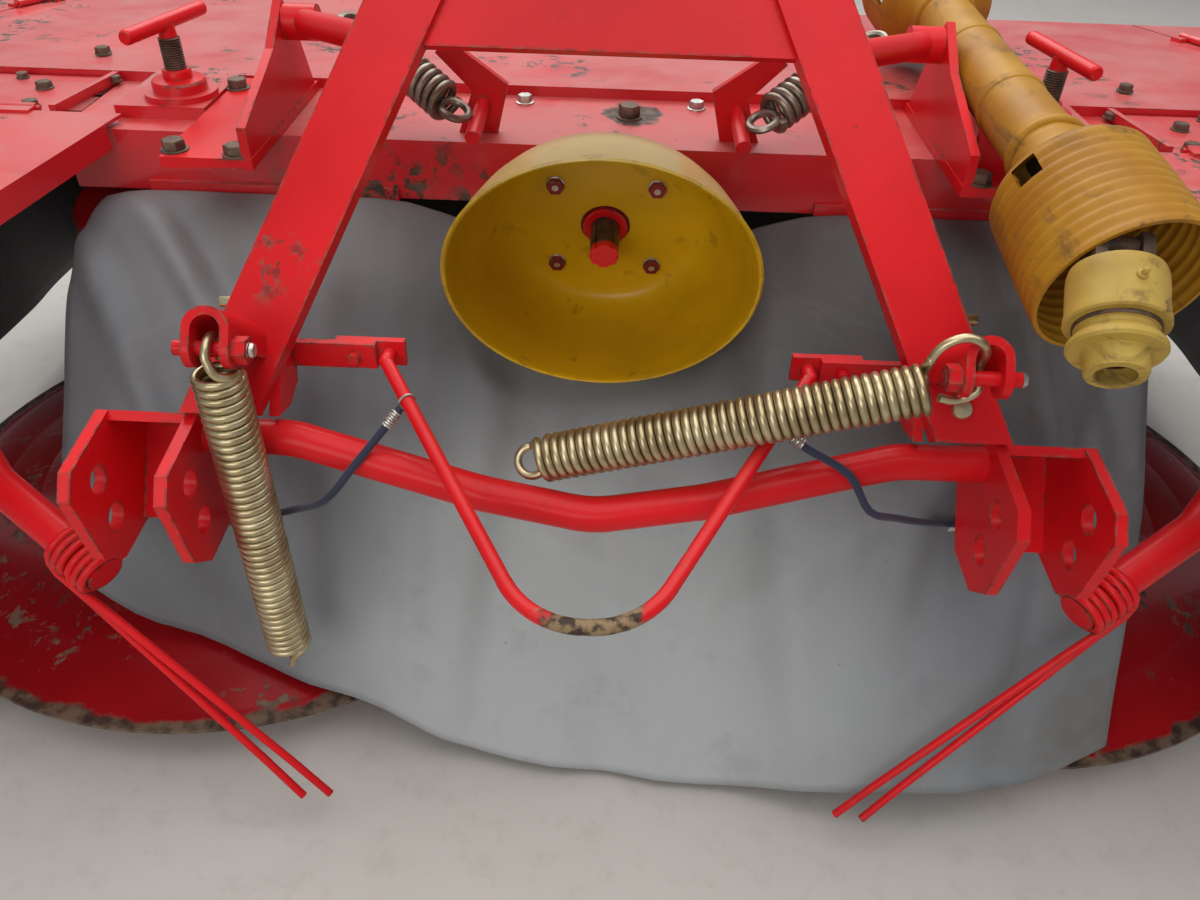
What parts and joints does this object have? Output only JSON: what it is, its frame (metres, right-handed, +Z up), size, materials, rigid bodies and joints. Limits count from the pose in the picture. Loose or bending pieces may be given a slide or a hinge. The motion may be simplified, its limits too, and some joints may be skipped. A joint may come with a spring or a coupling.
{
  "type": "two-drum front mower",
  "caption": "Front-mounted rotary drum mower with skid dishes, hinged guards, curtains, sprung headstock, splined input and a stowed drive shaft.",
  "frame": {"origin": "middle of the bounding box at floor level, under the skid dishes", "axes": "+X across the machine to the right as seen from the tractor, +Y the driving direction away from the tractor, +Z up"},
  "size_m": [2.187, 1.2875, 1.0254],
  "materials": {
    "bare_steel": "worn bare steel with rust",
    "blue_cord": "dark blue cord",
    "dark_curtain": "black coated fabric",
    "dark_red_paint": "dull red paint",
    "grey_tarp": "coated grey-blue tarpaulin",
    "mustard_paint": "mustard paint",
    "red_paint": "worn red gloss paint",
    "yellow_plastic": "dirty yellow plastic",
    "yellow_steel": "dirty yellow paint",
    "zinc_steel": "yellow zinc plating"
  },
  "bodies": {
    "chassis": {"main_beam": "red_paint", "centre_gearbox": "dark_red_paint", "cover_frame": "dark_red_paint", "front_cover": "red_paint", "side_covers": "red_paint", "drum_seats": "red_paint", "height_spindles": "red_paint", "drum_columns": "dark_red_paint", "skid_dishes": "bare_steel", "front_curtain": "dark_curtain", "rear_curtain": "grey_tarp", "curtain_clips": "zinc_steel", "tie_cords": "blue_cord", "left_leg": "red_paint", "right_leg": "red_paint", "top_plate": "red_paint", "left_link_bracket": "red_paint", "right_link_bracket": "red_paint", "spreader_tube": "red_paint", "drive_bow": "red_paint", "bow_links": "red_paint", "spring_shackles": "red_paint", "left_relief_spring": "zinc_steel", "right_relief_spring": "zinc_steel", "swing_brackets": "red_paint", "pivot_arms": "red_paint", "balance_springs": "bare_steel", "spring_anchors": "red_paint", "gearbox_shield": "mustard_paint", "shaft_guard": "yellow_plastic", "shaft_cones": "yellow_plastic", "shaft_yokes": "yellow_steel", "tine_bars": "red_paint"},
    "left_rotor": {"left_drum": "red_paint", "left_knives": "bare_steel"},
    "right_rotor": {"right_drum": "red_paint", "right_knives": "bare_steel"},
    "left_rear_guard": {"left_rear_flap": "red_paint", "left_rear_skirt": "dark_curtain"},
    "right_rear_guard": {"right_rear_flap": "red_paint", "right_rear_skirt": "dark_curtain"},
    "left_corner_guard": {"left_front_flap": "red_paint", "left_front_skirt": "dark_curtain"},
    "right_corner_guard": {"right_front_flap": "red_paint", "right_front_skirt": "dark_curtain"},
    "drive_input": {"input_shaft": "bare_steel"}
  },
  "joints": [
    {"name": "left_drum_spin", "type": "hinge", "parent": "chassis", "child": "left_rotor", "pos_m": [-0.525, -0.002, 0.3], "axis": [0, 0, 1], "continuous": true},
    {"name": "right_drum_spin", "type": "hinge", "parent": "chassis", "child": "right_rotor", "pos_m": [0.525, -0.002, 0.3], "axis": [0, 0, 1], "continuous": true},
    {"name": "drive_input_spin", "type": "hinge", "parent": "chassis", "child": "drive_input", "pos_m": [0, -0.088, 0.561], "axis": [0, -0.9636, -0.2672], "continuous": true},
    {"name": "left_rear_guard_hinge", "type": "hinge", "parent": "chassis", "child": "left_rear_guard", "pos_m": [-0.8, -0.054, 0.665], "axis": [-1, 0, 0], "range_deg": [0, 95]},
    {"name": "right_rear_guard_hinge", "type": "hinge", "parent": "chassis", "child": "right_rear_guard", "pos_m": [0.8, -0.054, 0.665], "axis": [-1, 0, 0], "range_deg": [0, 95]},
    {"name": "left_corner_guard_hinge", "type": "hinge", "parent": "chassis", "child": "left_corner_guard", "pos_m": [-0.91, 0.638, 0.64358], "axis": [0.2784, 0.959, -0.0534], "range_deg": [0, 95]},
    {"name": "right_corner_guard_hinge", "type": "hinge", "parent": "chassis", "child": "right_corner_guard", "pos_m": [0.91, 0.638, 0.64358], "axis": [0.2784, -0.959, 0.0534], "range_deg": [0, 95]}
  ],
  "couplings": [
    {"joint": "right_drum_spin", "follows": "left_drum_spin", "ratio": -1},
    {"joint": "drive_input_spin", "follows": "left_drum_spin", "ratio": 0.3333}
  ]
}
